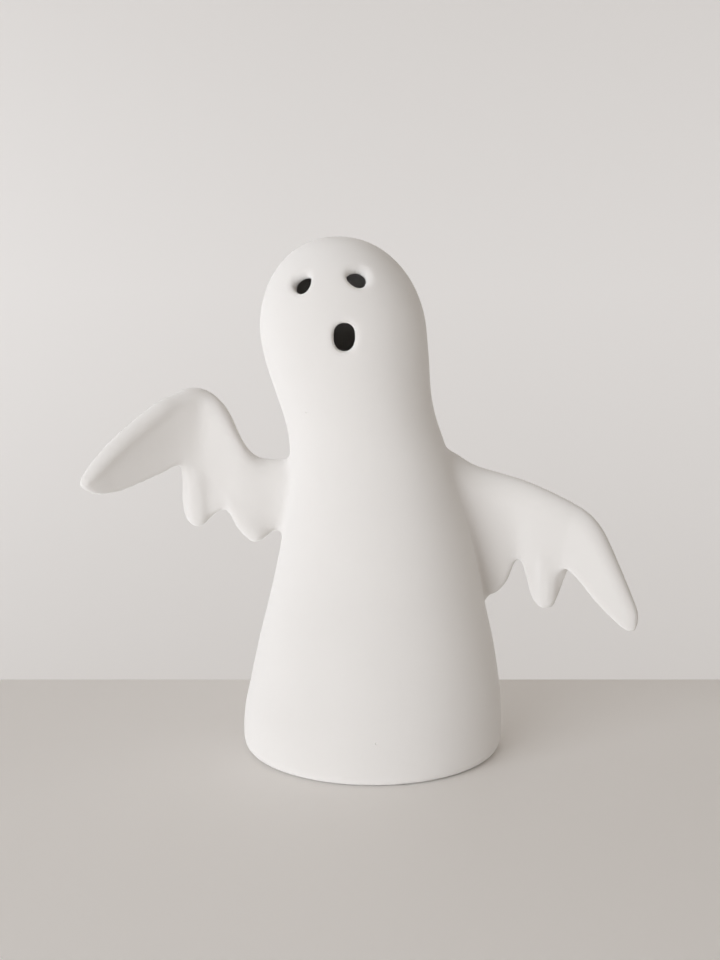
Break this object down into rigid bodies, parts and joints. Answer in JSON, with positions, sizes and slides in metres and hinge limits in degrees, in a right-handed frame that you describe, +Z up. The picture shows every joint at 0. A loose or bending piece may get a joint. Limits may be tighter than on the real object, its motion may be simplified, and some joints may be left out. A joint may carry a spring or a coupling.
{
  "type": "light-up ghost figurine",
  "caption": "Hollow matte white ceramic ghost with two dripping arms and cut-through eyes and mouth; a battery light unit pushes into its foot.",
  "frame": {"origin": "on the table, under the middle of the whole figure", "axes": "+Z up, the face looks along -Y, +X across the arms"},
  "size_m": [0.1478, 0.0712, 0.141],
  "materials": {
    "ceramic": "matte bisque",
    "white_plastic": "fine moulded grain",
    "silicone": "matte",
    "steel": "zinc plated",
    "cell_steel": "polished",
    "nickel": "nickel plated",
    "board": "solder mask",
    "clear_epoxy": "clear",
    "black_plastic": "moulded",
    "phenolic": "moulded",
    "red_insulation": "smooth",
    "black_insulation": "smooth"
  },
  "bodies": {
    "figure": {"ceramic_body": "ceramic"},
    "light_unit": {"base_cover": "white_plastic", "module_housing": "white_plastic", "grip_ring": "silicone", "cover_screw_1": "steel", "cover_screw_2": "steel", "cover_screw_3": "steel", "coin_cell_1": "cell_steel", "coin_cell_2": "cell_steel", "positive_contact": "nickel", "negative_contact": "nickel", "circuit_board": "board", "board_screw_1": "steel", "board_screw_2": "steel", "led_lamp": "clear_epoxy", "led_lead_1": "nickel", "led_lead_2": "nickel", "timer_chip": "black_plastic", "resistor": "black_plastic", "switch_frame": "steel", "switch_base": "phenolic", "switch_pin_1": "nickel", "switch_pin_2": "nickel", "switch_pin_3": "nickel", "wire_positive": "red_insulation", "wire_switched": "red_insulation", "wire_negative": "black_insulation"},
    "battery_cap": {"battery_cap": "white_plastic"},
    "switch_knob": {"switch_knob": "black_plastic"}
  },
  "joints": [
    {"name": "unit_pull", "type": "slide", "parent": "figure", "child": "light_unit", "axis": [0, 0, -1], "range_m": [0, 0.03]},
    {"name": "cap_twist", "type": "hinge", "parent": "light_unit", "child": "battery_cap", "pos_m": [0.00316, 0.004, 0.0021], "axis": [0, 0, 1], "range_deg": [0, 35]},
    {"name": "switch_slide", "type": "slide", "parent": "light_unit", "child": "switch_knob", "axis": [1, 0, 0], "range_m": [0, 0.002]}
  ]
}
